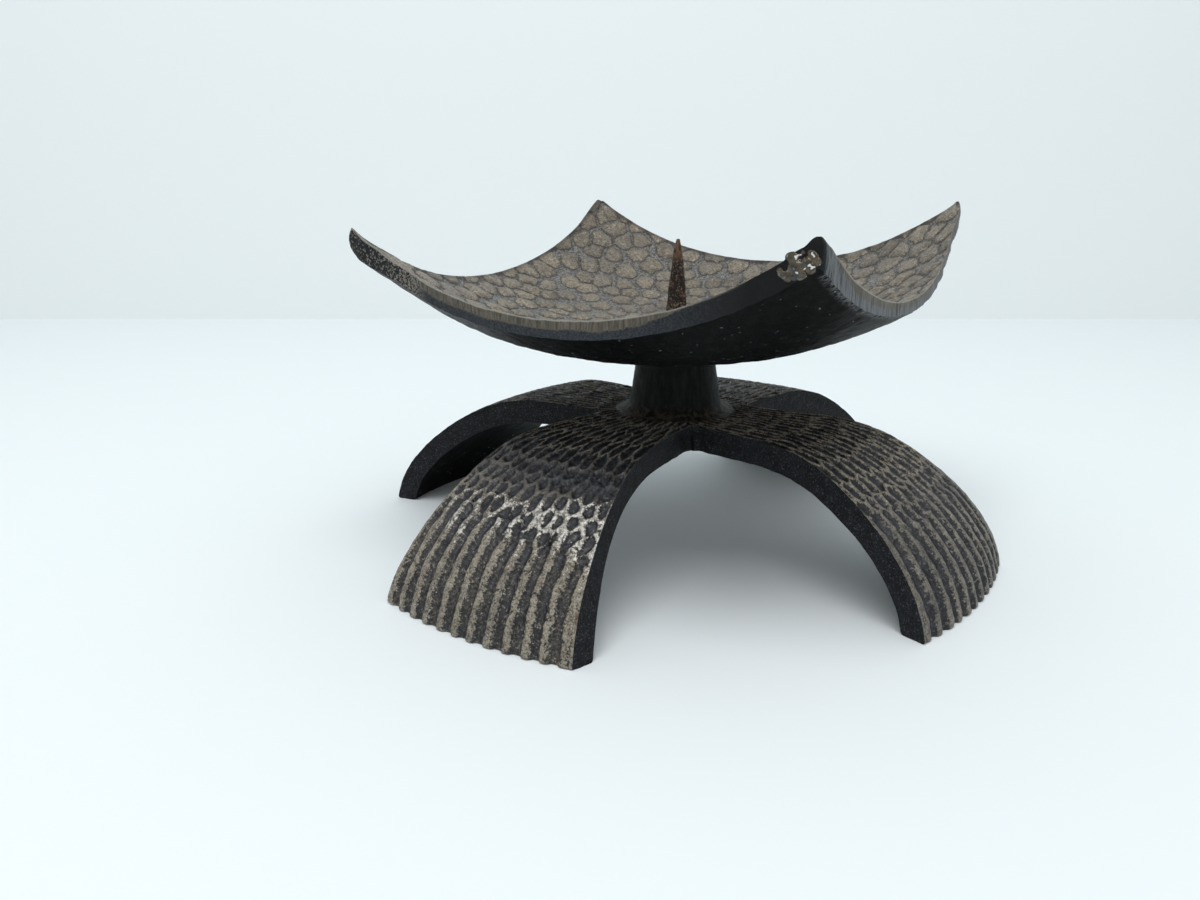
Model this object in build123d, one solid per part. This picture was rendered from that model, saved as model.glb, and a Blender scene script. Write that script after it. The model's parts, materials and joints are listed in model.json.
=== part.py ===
from build123d import *
import math
import os

# A cast iron pricket candle stand: a square dish on a short stem over four arched legs.
# The origin is on the table under the stem, +Z is up, and the legs point along X and Y.
# All lengths are millimetres.

# Leg base, one casting of four legs, hub and stem
hub_height = 34.8
hub_wall = 6.3
hub_half_width = 13.4
shoulder_reach = 33.0
foot_reach = 85.0
foot_wall = 6.2
foot_front_radius = 108.0
foot_half_width = 29.0
leg_side_sag = 2.1
notch_radius = 3.0
foot_edge_radius = 0.8
stem_foot_radius = 12.0
stem_top_radius = 10.3
stem_flare_radius = 3.5
leg_count = 4
full_turn = 360
fan_degrees = 45
rib_count = 12
groove_depth = 1.0
groove_width = 2.1

# The bend of a leg from the shoulder to the floor: shares of its span and of its height
arch_shares = [
    (0.0, 1.0),
    (0.16, 0.99),
    (0.33, 0.94),
    (0.5, 0.83),
    (0.66, 0.68),
    (0.8, 0.505),
    (0.9, 0.335),
    (0.965, 0.17),
    (1.0, 0.0),
]

# The grooves between a leg's ribs: shares of the way down the bend, and of the full depth there
groove_shares = [(0.42, -0.4), (0.54, 0.3), (0.68, 0.75), (0.82, 0.95), (0.91, 1.0), (1.0, 1.0)]

# Dish, a square casting that is hollowed like a bowl and rises to four tips
seat_height = 49.4
boss_height = 1.0
dish_depth = 32.5
dish_half_side = 57.5
dish_side_bulge = 3.7
dish_wall = 3.5
dish_tip_radius = 1.2
bowl_square_share = 0.45
bowl_reach_shares = [0.0, 0.2, 0.4, 0.6, 0.8, 0.95, 1.1]
collar_seat_depth = 0.4

# The dish is held by friction alone. It has turned on the stem, and its bowl is out of square.
dish_turn_degrees = 5.7
dish_rise_along_x_degrees = 0.5
dish_rise_along_y_degrees = 1.05

# Pricket, one turned steel piece: spike, collar and the shank that ties the stand together
spike_length = 24.4
spike_tip_radius = 0.35
spike_nose_length = 3.6
spike_nose_radius = 1.2
spike_nose_crown = 0.12
spike_root_radius = 3.45
collar_radius = 5.5
collar_thickness = 1.8
shank_radius = 3.0
shank_end_chamfer = 0.8
shank_tail = 1.0

# Washer and nut under the hub
washer_radius = 7.0
washer_thickness = 1.6
nut_across_flats = 10.0
nut_height = 3.2
nut_corner_chamfer = 0.5

# Clearances, and how far a cut runs past what it cuts
shank_clearance = 0.3
collar_clearance = 0.4
thread_clearance = 0.1
overrun = 2.0
upright = (Align.CENTER, Align.CENTER, Align.MIN)

# Places that follow from the sizes
vault_height = hub_height - hub_wall
vault_reach = foot_reach - foot_wall
foot_centre_reach = foot_reach - foot_front_radius
fan_flare = (foot_half_width - hub_half_width) / (foot_reach - hub_half_width)
fan_half_angle = math.atan(fan_flare)
fan_apex_reach = hub_half_width - hub_half_width / fan_flare
dish_floor_height = seat_height + boss_height + dish_wall
collar_seat_height = dish_floor_height - collar_seat_depth
collar_top_height = collar_seat_height + collar_thickness
spike_height = collar_top_height + spike_length
hole_radius = shank_radius + shank_clearance
dish_tip_reach = math.hypot(dish_half_side, dish_half_side)
rim_height = dish_floor_height + dish_depth
tie_bottom = vault_height - washer_thickness - nut_height - shank_tail


def arch_curve(reach, height):
    """The bend of one leg in side view, from the shoulder down to the floor."""
    span = reach - shoulder_reach
    points = [(shoulder_reach + along * span, up * height) for along, up in arch_shares]
    return Spline(points)


def leg_plan():
    """One leg seen from above: a hub-wide root, then sides that flare in shallow arcs."""
    root = (hub_half_width, hub_half_width)
    tip = (foot_reach, foot_half_width)
    side = SagittaArc(root, tip, -leg_side_sag)
    outline = [
        Line((0, 0), (0, hub_half_width)),
        Line((0, hub_half_width), root),
        side,
        Line(tip, (foot_reach + overrun, foot_half_width)),
        Line((foot_reach + overrun, foot_half_width), (foot_reach + overrun, 0)),
    ]
    half = make_face(Wire(outline + [Line((foot_reach + overrun, 0), (0, 0))]))
    return half + mirror(half, Plane.XZ)


def leg():
    """An arched strip, crowned like a barrel towards the foot, cut to the leg's plan."""
    outer = arch_curve(foot_reach, hub_height)
    inner = arch_curve(vault_reach, vault_height)
    top = Line((0, hub_height), outer @ 0)
    bottom = Line(inner @ 0, (0, vault_height))
    foot = Line(outer @ 1, inner @ 1)
    root = Line(bottom @ 1, top @ 0)
    side_view = Plane.XZ * make_face(Wire([top, outer, foot, inner, bottom, root]))
    crown_axis = Axis((foot_centre_reach, 0, 0), (0, 0, 1))
    strip = revolve(side_view.rotate(crown_axis, -fan_degrees), crown_axis, 2 * fan_degrees)
    strip = strip & extrude(leg_plan(), hub_height + overrun)
    foot_edges = strip.edges().group_by(Axis.Z)[0]
    strip = fillet(foot_edges, foot_edge_radius)
    for rib in range(1, rib_count):
        strip = strip - groove(fan_half_angle * (2 * rib / rib_count - 1))
    return strip


def groove_reach(outer_reach, angle):
    """Distance from the apex of the fan, along one of its rays, to a circle about the crown axis."""
    apex_to_crown = foot_centre_reach - fan_apex_reach
    crown_radius = outer_reach - foot_centre_reach
    across = apex_to_crown * math.sin(angle)
    return apex_to_crown * math.cos(angle) + math.sqrt(crown_radius**2 - across**2)


def groove(angle):
    """The V-shaped cutter of one groove. It enters the bend at a shallow angle and runs out at the floor."""
    bend = arch_curve(foot_reach, hub_height)
    points = []
    for down_share, depth_share in groove_shares:
        place = bend @ down_share
        heading = bend % down_share
        depth = groove_depth * depth_share
        reach = groove_reach(place.X + depth * heading.Y, angle)
        points.append((reach, place.Y - depth * heading.X))
    points.append((points[-1][0], -overrun))
    ray = Plane(
        origin=(fan_apex_reach, 0, 0),
        x_dir=(math.cos(angle), math.sin(angle), 0),
        z_dir=(math.sin(angle), -math.cos(angle), 0),
    )
    path = ray * Spline(points)
    across_path = Plane(origin=path @ 0, x_dir=ray.z_dir, z_dir=path % 0)
    wedge = Polyline(
        (0, 0), (groove_width, -2 * groove_depth), (-groove_width, -2 * groove_depth), close=True
    )
    return sweep(across_path * make_face(wedge), path)


def stem():
    """A short tapered stem that flares into the hub, drawn down through the hub."""
    flare_reach = stem_foot_radius + stem_flare_radius
    side = FilletPolyline(
        (flare_reach, hub_height),
        (stem_foot_radius, hub_height),
        (stem_top_radius, seat_height),
        radius=stem_flare_radius,
    )
    core = Polyline(
        (stem_top_radius, seat_height),
        (0, seat_height),
        (0, vault_height),
        (flare_reach, vault_height),
        (flare_reach, hub_height),
    )
    return revolve(Plane.XZ * make_face(Wire(side.edges() + core.edges())), Axis.Z)


def leg_base():
    """Four legs, the hub they share and the stem, with the hole for the shank."""
    one_leg = leg()
    legs = Part() + [Rot(Z=turn * full_turn / leg_count) * one_leg for turn in range(leg_count)]
    upright_edges = legs.edges().filter_by(Axis.Z)
    legs = fillet(upright_edges, notch_radius)
    return legs + stem() - shank_hole()


def shank_hole():
    """The clearance hole that runs through the dish, the stem and the hub."""
    return Cylinder(hole_radius, 2 * (seat_height + dish_depth))


def bowl_height(reach):
    """Height of the bowl's inside at a distance from its axis: flat in the middle, steep at the tips."""
    share = reach / dish_tip_reach
    rise = bowl_square_share * share**2 + (1 - bowl_square_share) * share**4
    return dish_floor_height + dish_depth * rise


def bowl_slope(reach):
    """Slope of the bowl's inside at a distance from its axis."""
    share = reach / dish_tip_reach
    return dish_depth / dish_tip_reach * (
        2 * bowl_square_share * share + 4 * (1 - bowl_square_share) * share**3
    )


def bowl_curve(wall):
    """Half of the bowl's section, moved out from the inside by a wall."""
    points = []
    for reach_share in bowl_reach_shares:
        reach = reach_share * dish_tip_reach
        lean = math.atan(bowl_slope(reach))
        points.append((reach + wall * math.sin(lean), bowl_height(reach) - wall * math.cos(lean)))
    last_lean = math.atan(bowl_slope(bowl_reach_shares[-1] * dish_tip_reach))
    return Spline(points, tangents=[(1, 0), (math.cos(last_lean), math.sin(last_lean))])


def dish_plan():
    """The dish seen from above: a square whose sides bulge a little, with blunt tips."""
    corners = [
        (dish_half_side, dish_half_side),
        (-dish_half_side, dish_half_side),
        (-dish_half_side, -dish_half_side),
        (dish_half_side, -dish_half_side),
    ]
    sides = [
        SagittaArc(corners[side], corners[(side + 1) % len(corners)], -dish_side_bulge)
        for side in range(len(corners))
    ]
    square = make_face(Wire(sides))
    return fillet(square.vertices(), dish_tip_radius)


def dish():
    """The bowl cut to the square plan, with a boss that sits on the stem and a seat for the collar."""
    inside = bowl_curve(0)
    outside = bowl_curve(dish_wall)
    section = Plane.XZ * make_face(
        Wire([inside, Line(inside @ 1, outside @ 1), outside, Line(outside @ 0, inside @ 0)])
    )
    bowl = revolve(section, Axis.Z)
    bowl = bowl & extrude(dish_plan(), rim_height + dish_depth)
    lean = Rot(X=dish_rise_along_y_degrees) * Rot(Y=-dish_rise_along_x_degrees)
    bowl = Pos(Z=rim_height) * lean * Rot(Z=dish_turn_degrees) * Pos(Z=-rim_height) * bowl
    boss = Pos(Z=seat_height) * Cylinder(
        stem_top_radius, boss_height + dish_wall / 2, align=upright
    )
    collar_seat = Pos(Z=collar_seat_height) * Cylinder(
        collar_radius + collar_clearance, dish_depth, align=upright
    )
    return bowl + boss - collar_seat - shank_hole()


def pricket():
    """Spike, collar and shank in one turned piece."""
    nose_height = spike_height - spike_nose_length
    nose_middle = (
        (spike_tip_radius + spike_nose_radius) / 2 + spike_nose_crown,
        spike_height - spike_nose_length / 2,
    )
    nose = ThreePointArc((spike_tip_radius, spike_height), nose_middle, (spike_nose_radius, nose_height))
    rest = Polyline(
        (spike_nose_radius, nose_height),
        (spike_root_radius, collar_top_height),
        (collar_radius, collar_top_height),
        (collar_radius, collar_seat_height),
        (shank_radius, collar_seat_height),
        (shank_radius, tie_bottom + shank_end_chamfer),
        (shank_radius - shank_end_chamfer, tie_bottom),
        (0, tie_bottom),
        (0, spike_height),
        (spike_tip_radius, spike_height),
    )
    return revolve(Plane.XZ * make_face(Wire([nose] + rest.edges())), Axis.Z)


def washer():
    """Flat ring between the hub and the nut."""
    blank = Cylinder(washer_radius, washer_thickness) - Cylinder(hole_radius, 2 * washer_thickness)
    return Pos(Z=vault_height - washer_thickness / 2) * blank


def nut():
    """Thin hexagon nut with turned corners, so that nothing shows below the hub."""
    blank = extrude(RegularPolygon(nut_across_flats / 2, 6, major_radius=False), nut_height)
    corner_radius = nut_across_flats / math.sqrt(3)
    turned = Cylinder(corner_radius, nut_height, align=upright)
    turned = chamfer(turned.edges().filter_by(GeomType.CIRCLE), nut_corner_chamfer)
    body = (blank & turned) - Cylinder(shank_radius + thread_clearance, 3 * nut_height)
    return Pos(Z=vault_height - washer_thickness - nut_height) * body


pieces = {
    "leg_base": leg_base(),
    "dish": dish(),
    "pricket": pricket(),
    "washer": washer(),
    "nut": nut(),
}

os.makedirs("parts", exist_ok=True)
for name, solid in pieces.items():
    export_step(solid, f"parts/{name}.step")
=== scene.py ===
import json
import math

import bpy
import numpy as np
from bpy.props import FloatProperty, FloatVectorProperty, IntProperty, PointerProperty
from mathutils import Matrix, Vector

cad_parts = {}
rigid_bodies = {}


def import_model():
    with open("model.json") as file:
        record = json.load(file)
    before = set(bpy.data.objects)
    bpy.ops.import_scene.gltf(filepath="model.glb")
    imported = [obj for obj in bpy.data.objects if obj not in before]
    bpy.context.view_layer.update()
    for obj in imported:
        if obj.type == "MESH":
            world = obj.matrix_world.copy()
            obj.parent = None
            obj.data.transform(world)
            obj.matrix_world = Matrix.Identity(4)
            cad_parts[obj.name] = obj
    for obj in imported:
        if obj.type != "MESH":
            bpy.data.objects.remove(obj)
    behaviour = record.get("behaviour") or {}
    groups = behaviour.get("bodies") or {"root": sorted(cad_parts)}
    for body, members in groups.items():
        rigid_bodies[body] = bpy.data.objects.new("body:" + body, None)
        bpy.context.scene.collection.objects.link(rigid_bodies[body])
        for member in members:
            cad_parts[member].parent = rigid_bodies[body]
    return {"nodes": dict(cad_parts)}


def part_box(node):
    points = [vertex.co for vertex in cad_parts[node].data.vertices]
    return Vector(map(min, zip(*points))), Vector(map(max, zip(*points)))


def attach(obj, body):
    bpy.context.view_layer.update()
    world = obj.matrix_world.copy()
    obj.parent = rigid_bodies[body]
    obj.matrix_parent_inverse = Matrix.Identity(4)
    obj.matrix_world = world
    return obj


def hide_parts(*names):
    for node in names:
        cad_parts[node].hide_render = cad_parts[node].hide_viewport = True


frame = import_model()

bl_info = {
    "name": "Pricket Candle Stand",
    "version": (1, 0, 0),
    "blender": (4, 5, 0),
    "location": "View3D > Sidebar > Candle Stand",
    "description": "Cast iron candle stand with a pebbled dish and ribbed, dimpled legs",
    "category": "Object",
}

# Shapes are worked out in millimetres, as the solids are, and made metres when a mesh is placed
MM = 0.001

# Leg casting: the sizes of its solid
hub_height = 34.8
hub_half_width = 13.4
hub_wall = 6.3
shoulder_reach = 33.0
foot_reach = 85.0
foot_wall = 6.2
foot_front_radius = 108.0
foot_half_width = 29.0
foot_edge_radius = 0.8
leg_side_sag = 2.1
notch_radius = 3.0
leg_count = 4
leg_start_reach = 8.0
stem_top_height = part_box("leg_base")[1].z / MM
stem_foot_radius = 12.0
stem_top_radius = 10.3
stem_flare_radius = 3.5
crown_axis_reach = foot_reach - foot_front_radius
fan_flare = (foot_half_width - hub_half_width) / (foot_reach - hub_half_width)
fan_half_angle = math.atan(fan_flare)
fan_apex_reach = hub_half_width - hub_half_width / fan_flare

# The bend of a leg from the shoulder to the floor: shares of its span and of its height
arch_shares = [
    (0.0, 1.0),
    (0.16, 0.99),
    (0.33, 0.94),
    (0.5, 0.83),
    (0.66, 0.68),
    (0.8, 0.505),
    (0.9, 0.335),
    (0.965, 0.17),
    (1.0, 0.0),
]

# What is uneven in each leg, in millimetres: left edge drawn in, right side flared, right shoulder swollen
leg_quirks = [(0, 0.3, 0.75), (0, 0.3, 0.5), (0, 0.3, 0), (1.6, 2.8, 0)]
draw_in_shares = [(-0.1, 0.1, 0.2, 0.45, 0.7, 0.8, 0.9, 1.0), (0, 0.3, 0.55, 0.8, 1.0, 0.85, 0.6, 0.45)]
swell_shares = [(-0.4, -0.1, 0.1, 0.5, 0.7, 1.0), (0, 0.6, 1.0, 1.0, 0.6, 0.3)]

# How worn each leg is: brown-grey at the hub, on the shoulder and at the foot, and bright below the shoulder,
# rubbed metal with a painted highlight laid in it
wear_shares = [(1.0, 1.0, 0.58, 0.30), (0.8, 0.7, 0.8, 0.0), (0.75, 0.5, 0.6, 0.0), (1.0, 0.16, 1.0, 1.0)]
# How much brown dust lies in each leg's hollows, on the shoulder and at the foot
dust_shares = [(0.22, 0.15), (0.4, 0.4), (0.2, 0.3), (0.10, 0.60)]
# How far down its bend each leg has long dimples
long_dimple_ends = [0.66, 0.5, 0.5, 0.40]
leg_names = ["leg_right", "leg_back", "leg_left", "leg_front"]

# Dish casting: the sizes of its solid
dish_floor_height = 53.9
dish_depth = 32.5
dish_half_side = 57.5
dish_side_bulge = 3.7
dish_wall = 3.5
bowl_square_share = 0.45
dish_turn_degrees = 5.7
dish_rise_along_x_degrees = 0.5
dish_rise_along_y_degrees = 1.05
rim_height = dish_floor_height + dish_depth
dish_tip_reach = math.hypot(dish_half_side, dish_half_side)
blunt_tip_reach = dish_tip_reach - 0.5

# What is uneven in the dish's corners, in millimetres
left_tip_stretch = 2.1
left_tip_lift = 0.5
left_tip_rounding = 1.2
tip_rounding = 0.8
left_tip_thinning = -0.3
left_belly_lift = 0.45
far_tip_shoulder = 1.2
right_tip_stretch = 0.9
right_tip_lift = 0.9
right_tip_thinning = 1.5
right_side_thinning = 1.1
near_tip_lift = 0.7

# Amber beads stuck to the rim at the near corner: place of the middle and radius, in millimetres
amber_beads = [
    ((59.8, -52.0, 81.3), 1.45),
    ((58.3, -52.3, 80.2), 1.60),
    ((57.5, -52.5, 82.1), 1.25),
    ((60.8, -51.9, 80.4), 1.10),
    ((61.0, -51.8, 82.4), 1.15),
    ((59.2, -52.2, 82.7), 0.90),
    ((62.0, -51.6, 81.5), 0.80),
    ((56.8, -52.6, 78.7), 1.00),
    ((55.2, -52.8, 79.9), 0.75),
    ((55.8, -52.8, 78.8), 0.80),
    ((59.4, -52.1, 78.9), 1.00),
    ((58.0, -52.3, 78.8), 0.90),
]
bead_squash = (1.2, 0.42, 1.05)

# Pricket: the sizes of its solid
spike_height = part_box("pricket")[1].z / MM
pricket_foot_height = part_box("pricket")[0].z / MM
collar_radius = 5.5
collar_seat_height = 53.5
collar_top_height = 55.3
spike_root_radius = 3.45
shank_radius = 3.0

# Radius of the spike at distances below its tip
spike_taper = [(2.75, 17.9), (2.3, 13.4), (1.8, 8.5), (1.2, 3.6), (0.85, 1.9), (0.4, 0.1)]

# Camera, worked out from the rims, tips and feet in the photograph
camera_place = (139.803, -223.557, 99.615)
camera_back = (0.56984, -0.77235, 0.28062)
camera_right = (0.8047, 0.5937, 0.0)
camera_lens = 29.905
sensor_width = 36.0
wall_distance = 643.0

# Stage: planes and lamp, in metres
plane_size = 6
plane_roughness = 0.85
lamp_place = (0.12, -0.3, 0.85)
lamp_size = 0.6

# How finely the pieces are divided: columns, rows and layers of a slab, and steps round a turned piece
leg_grid = (120, 230, 5)
dish_grid = (206, 206, 6)
round_steps = 112
spike_steps = 40
# Share of the underside's faces that is kept, and the angle above which an edge stays sharp
underside_share = 0.12
sharp_degrees = 50
bead_sharp_degrees = 80

# Finishes of a casting, in the order in which its pieces carry them
top_finish, side_finish, under_finish, stem_finish = range(4)
# Which way three corners of the dish lie along its two sides
corner_sides = {"left": (-1, -1), "right": (1, 1), "near": (1, -1)}
# Starting numbers of the noise in each piece
leg_seeds = [7, 47, 87, 127]
dish_seed, stem_seed, boss_seed, bead_seed, spike_seed = 5, 31, 77, 57, 91


def whole_number(name, description, default):
    """A whole number of ribs or rows."""
    return IntProperty(name=name, description=description, default=default, min=4)


def measure(name, description, default):
    """A length, shown in the scene's units."""
    return FloatProperty(name=name, description=description, default=default, unit="LENGTH")


def tint(name, description, default):
    """A colour, shown as a swatch."""
    return FloatVectorProperty(name=name, description=description, default=default, subtype="COLOR", size=3)


class LegLook(bpy.types.PropertyGroup):
    """Sizes of the pattern on the legs."""

    rib_count: whole_number("Ribs", "Ribs across one foot", 12)
    dimple_rows: whole_number("Dimple rows", "Rows of dimples across a leg", 14)
    dimple_length: measure("Dimple length", "Pitch of the dimples along a leg", 0.0044)
    dimple_depth: measure("Dimple depth", "Depth of a dimple", 0.0005)
    groove_depth: measure("Groove depth", "Depth of a groove at the foot", 0.001)


class DishLook(bpy.types.PropertyGroup):
    """Sizes of the pebbled pattern in the dish."""

    cell_size: measure("Pebble size", "Distance between pebbles at the rim", 0.0055)
    centre_cell_size: measure("Centre pebble size", "Distance between pebbles round the spike", 0.0038)
    groove_depth: measure("Seam depth", "Depth of the seams between pebbles", 0.0006)


class FinishLook(bpy.types.PropertyGroup):
    """Colours of the finishes."""

    blacking: tint("Blacking", "Black finish of the castings", (0.0085, 0.0092, 0.011))
    worn_iron: tint("Worn iron", "Brown-grey iron where the black has worn off", (0.37, 0.334, 0.266))
    dull_iron: tint("Dull iron", "Darker brown-grey between the worn places", (0.098, 0.086, 0.068))
    # Bright ridges below the shoulder: rubbed metal, and a painted highlight as well
    bright_iron_and_highlight: tint("Bright iron", "Ridges rubbed to bare metal", (0.62, 0.6, 0.56))
    pebble_iron: tint("Pebble iron", "Warm grey tops of the pebbles", (0.4, 0.34, 0.254))
    pebble_shade: tint("Darker pebbles", "The darkest of the pebble tops", (0.14, 0.113, 0.078))
    rust: tint("Rust", "Rust brown on the spike and in the castings", (0.09, 0.044, 0.021))


class StageLook(bpy.types.PropertyGroup):
    """Colours and light of the stage."""

    floor_colour: tint("Floor", "Pale table top", (0.86, 0.925, 0.95))
    wall_colour: tint("Wall", "Pale wall", (0.87, 0.92, 0.93))
    sky_level: FloatProperty(name="Room light", description="Light from all round", default=0.62, min=0)
    lamp_power: FloatProperty(name="Lamp", description="Power of the soft lamp", default=3.9, min=0)


# Noise and curves


def scatter(cells, seed):
    """A fixed random number from -1 to 1 for each row of whole numbers."""
    primes = np.array([73856093, 19349663, 83492791], dtype=np.int64)[: cells.shape[1]]
    mixed = (cells.astype(np.int64) @ primes + seed * 15485863) & 0xFFFFFFFF
    mixed = ((mixed ^ (mixed >> 15)) * 2246822519) & 0xFFFFFFFF
    mixed = ((mixed ^ (mixed >> 13)) * 3266489917) & 0xFFFFFFFF
    mixed = mixed ^ (mixed >> 16)
    return (mixed & 0xFFFF) / 32767.5 - 1


def lumps(points, size, seed):
    """A smooth random swell from -1 to 1 at each point, in lumps of about one size."""
    cells = points / size
    low = np.floor(cells)
    share = cells - low
    share = share * share * (3 - 2 * share)
    total = np.zeros(len(points))
    for corner in np.ndindex(*(2,) * points.shape[1]):
        weight = np.prod(np.where(corner, share, 1 - share), axis=1)
        total += weight * scatter(low + corner, seed)
    return total


def swell(points, seed, *sizes_and_depths):
    """Lumps of several sizes laid over one another, each with its own depth."""
    return sum(depth * lumps(points, size, seed + i) for i, (size, depth) in enumerate(sizes_and_depths))


def least(first, second):
    """The lesser of two distances, with the change from one to the other rounded off."""
    return -np.log(np.exp(-3 * first) + np.exp(-3 * second)) / 3


def ease(value, start, end):
    """Rises smoothly from 0 at the start to 1 at the end."""
    share = np.clip((value - start) / (end - start), 0, 1)
    return share * share * (3 - 2 * share)


def smooth_through(points, count):
    """Evenly spaced places on the natural cubic curve through a few points."""
    points = np.array(points, float)
    steps = np.linalg.norm(np.diff(points, axis=0), axis=1)
    knots = np.concatenate([[0], np.cumsum(steps)])
    system = np.eye(len(points))
    pull = np.zeros_like(points)
    for i in range(1, len(points) - 1):
        system[i, i - 1 : i + 2] = steps[i - 1], 2 * (steps[i - 1] + steps[i]), steps[i]
        pull[i] = 6 * ((points[i + 1] - points[i]) / steps[i] - (points[i] - points[i - 1]) / steps[i - 1])
    bend = np.linalg.solve(system, pull)
    fine = np.linspace(0, knots[-1], 60 * len(points))
    span = np.clip(np.searchsorted(knots, fine, side="right") - 1, 0, len(steps) - 1)
    width = steps[span][:, None]
    after = (fine - knots[span])[:, None] / width
    before = 1 - after
    curve = before * points[span] + after * points[span + 1]
    curve += ((before**3 - before) * bend[span] + (after**3 - after) * bend[span + 1]) * width**2 / 6
    return evenly(curve, count)


def evenly(curve, count):
    """The same curve with evenly spaced points."""
    run = np.concatenate([[0], np.cumsum(np.linalg.norm(np.diff(curve, axis=0), axis=1))])
    stations = np.linspace(0, run[-1], count)
    return np.column_stack([np.interp(stations, run, curve[:, axis]) for axis in range(2)])


# Mesh work


def deselect():
    """Leaves nothing selected."""
    for item in bpy.context.view_layer.objects:
        item.select_set(False)


def pick(piece):
    """Makes one piece the only one selected, and active."""
    deselect()
    piece.select_set(True)
    bpy.context.view_layer.objects.active = piece


def read(items, name, width, kind=float):
    """A row of numbers for each vertex, loop or face of a mesh."""
    values = np.zeros(len(items) * width, dtype=kind)
    items.foreach_get(name, values)
    return values.reshape(-1, width)


def corners(piece):
    """The places of a piece's vertices."""
    return read(piece.data.vertices, "co", 3)


def place(piece, points):
    """Moves a piece's vertices to places given in millimetres."""
    piece.data.vertices.foreach_set("co", (points * MM).ravel())
    piece.data.update()


def note(piece, **numbers):
    """Keeps named numbers for each vertex, for the finishes to read."""
    for name, values in numbers.items():
        layer = piece.data.attributes.new(name, "FLOAT", "POINT")
        layer.data.foreach_set("value", np.asarray(values, dtype=np.float32))


def add_object(name, data):
    """Puts a mesh, a camera or a lamp into the scene."""
    item = bpy.data.objects.new(name, data)
    bpy.context.scene.collection.objects.link(item)
    return item


def open_mesh(selection=None):
    """Opens the active mesh for the mesh tools, with all or nothing of it selected."""
    bpy.ops.object.mode_set(mode="EDIT")
    if selection:
        bpy.ops.mesh.select_all(action=selection)


def close_mesh():
    """Closes the mesh, which brings its data up to date."""
    bpy.ops.object.mode_set(mode="OBJECT")


def select_by(kind):
    """Sets whether the mesh tools select points, edges or faces."""
    bpy.context.tool_settings.mesh_select_mode = [kind == each for each in ("points", "edges", "faces")]


def slab(name, columns, rows, layers):
    """A closed block of fine squares. Its vertices run from -1 to 1 across and along, and 0 to 1 through."""
    deselect()
    bpy.ops.mesh.primitive_grid_add(x_subdivisions=columns, y_subdivisions=rows, size=2)
    piece = bpy.context.object
    piece.name = piece.data.name = name
    open_mesh("SELECT")
    bpy.ops.mesh.extrude_region_move(TRANSFORM_OT_translate={"value": (0, 0, 1)})
    close_mesh()
    heights = corners(piece)[:, 2]
    select_by("edges")
    open_mesh("DESELECT")
    close_mesh()
    for edge in piece.data.edges:
        low, high = edge.vertices
        edge.select = abs(heights[low] - heights[high]) > 0.5
    open_mesh()
    bpy.ops.mesh.subdivide(number_cuts=layers - 1)
    close_mesh()
    select_by("points")
    return piece


def sort_faces(piece, through):
    """Gives the upper skin the first material, the cut edges the second and the underside the third."""
    mesh = piece.data
    depths = through[read(mesh.loops, "vertex_index", 1, np.int32)[:, 0]]
    starts = read(mesh.polygons, "loop_start", 1, np.int32)[:, 0]
    lowest = np.minimum.reduceat(depths, starts)
    highest = np.maximum.reduceat(depths, starts)
    sides = np.where(highest < 0.01, top_finish, np.where(lowest > 0.99, under_finish, side_finish))
    mesh.polygons.foreach_set("material_index", sides.astype(np.int32))


def face_out(piece, smooth_degrees):
    """Turns every face outwards and smooths all but the sharp edges."""
    pick(piece)
    open_mesh("SELECT")
    bpy.ops.mesh.normals_make_consistent(inside=False)
    close_mesh()
    bpy.ops.object.shade_smooth_by_angle(angle=math.radians(smooth_degrees))


def turned(name, outline, steps):
    """A turned shape: its outline, in millimetres from pole to pole, spun about the Z axis."""
    mesh = bpy.data.meshes.new(name)
    points = [(reach * MM, 0, height * MM) for reach, height in outline]
    mesh.from_pydata(points, [(i, i + 1) for i in range(len(points) - 1)], [])
    piece = add_object(name, mesh)
    pick(piece)
    open_mesh("SELECT")
    bpy.ops.mesh.spin(steps=steps, angle=2 * math.pi, center=(0, 0, 0), axis=(0, 0, 1))
    bpy.ops.mesh.select_all(action="SELECT")
    bpy.ops.mesh.remove_doubles(threshold=0.01 * MM)
    bpy.ops.mesh.normals_make_consistent(inside=False)
    close_mesh()
    return piece


def roughen(piece, sizes_and_depths, seed):
    """Moves the skin along its normals by lumps of several sizes, as sand casting or rust leaves it."""
    places = corners(piece) / MM
    out = sum(depth * lumps(places, size, seed) for size, depth in sizes_and_depths)
    place(piece, places + read(piece.data.vertex_normals, "vector", 3) * out[:, None])


def join(pieces, name):
    """Makes several shells one piece."""
    pick(pieces[0])
    for piece in pieces[1:]:
        piece.select_set(True)
    bpy.ops.object.join()
    pieces[0].name = pieces[0].data.name = name
    return pieces[0]


def dress(piece, materials):
    """Gives a piece, before its faces are sorted, its row of finishes."""
    for material in materials:
        piece.data.materials.append(material)


def cast_round(name, outline, finishes, finish, sizes_and_depths, seed):
    """A turned part of a casting, rough all over, in one of the casting's finishes."""
    piece = turned(name, outline, round_steps)
    dress(piece, finishes)
    roughen(piece, sizes_and_depths, seed)
    piece.data.polygons.foreach_set("material_index", [finish] * len(piece.data.polygons))
    return piece


# Node work


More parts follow.
